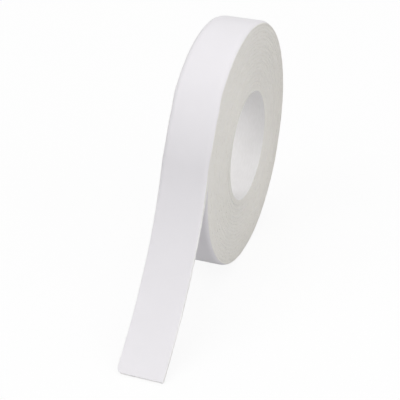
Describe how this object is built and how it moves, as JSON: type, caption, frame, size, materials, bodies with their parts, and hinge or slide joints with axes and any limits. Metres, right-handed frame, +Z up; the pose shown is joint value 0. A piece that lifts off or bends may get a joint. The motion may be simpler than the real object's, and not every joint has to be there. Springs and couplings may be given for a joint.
{
  "type": "hook and loop tape roll",
  "caption": "Roll of hook and loop tape on its edge: a hook strip and a loop strip, mated and wound on a paper core, with a free tail that lifts, bends and peels apart.",
  "frame": {"origin": "middle of the flat that the roll stands on, on the floor and under the roll's axis", "axes": "+X along the roll's axis, -Y forwards to the free tail, +Z up"},
  "size_m": [0.025, 0.1958, 0.1334],
  "materials": {
    "hook_strip": "white woven nylon, smooth back",
    "loop_strip": "white woven nylon, brushed loops",
    "core_board": "white paper tube, matt",
    "starter_paper": "double-sided paper tape, matt"
  },
  "bodies": {
    "roll": {"core_tube": "core_board", "starter_tab": "starter_paper", "hook_winding": "hook_strip", "loop_winding": "loop_strip"},
    "tail": {"hook_tail_root": "hook_strip", "loop_tail_root": "loop_strip"},
    "tail_end": {"hook_tail_middle": "hook_strip", "loop_tail_end": "loop_strip"},
    "peeled_end": {"hook_peel_end": "hook_strip"}
  },
  "joints": [
    {"name": "tail_lift", "type": "hinge", "parent": "roll", "child": "tail", "pos_m": [0, -0.06527, 0.08469], "axis": [-1, 0, 0], "range_deg": [0, 80]},
    {"name": "tail_bend", "type": "hinge", "parent": "tail", "child": "tail_end", "pos_m": [0, -0.08868, 0.04028], "axis": [-1, 0, 0], "range_deg": [0, 60]},
    {"name": "strip_peel", "type": "hinge", "parent": "tail_end", "child": "peeled_end", "pos_m": [0, -0.09909, 0.02814], "axis": [-1, 0, 0], "range_deg": [0, 100]}
  ]
}
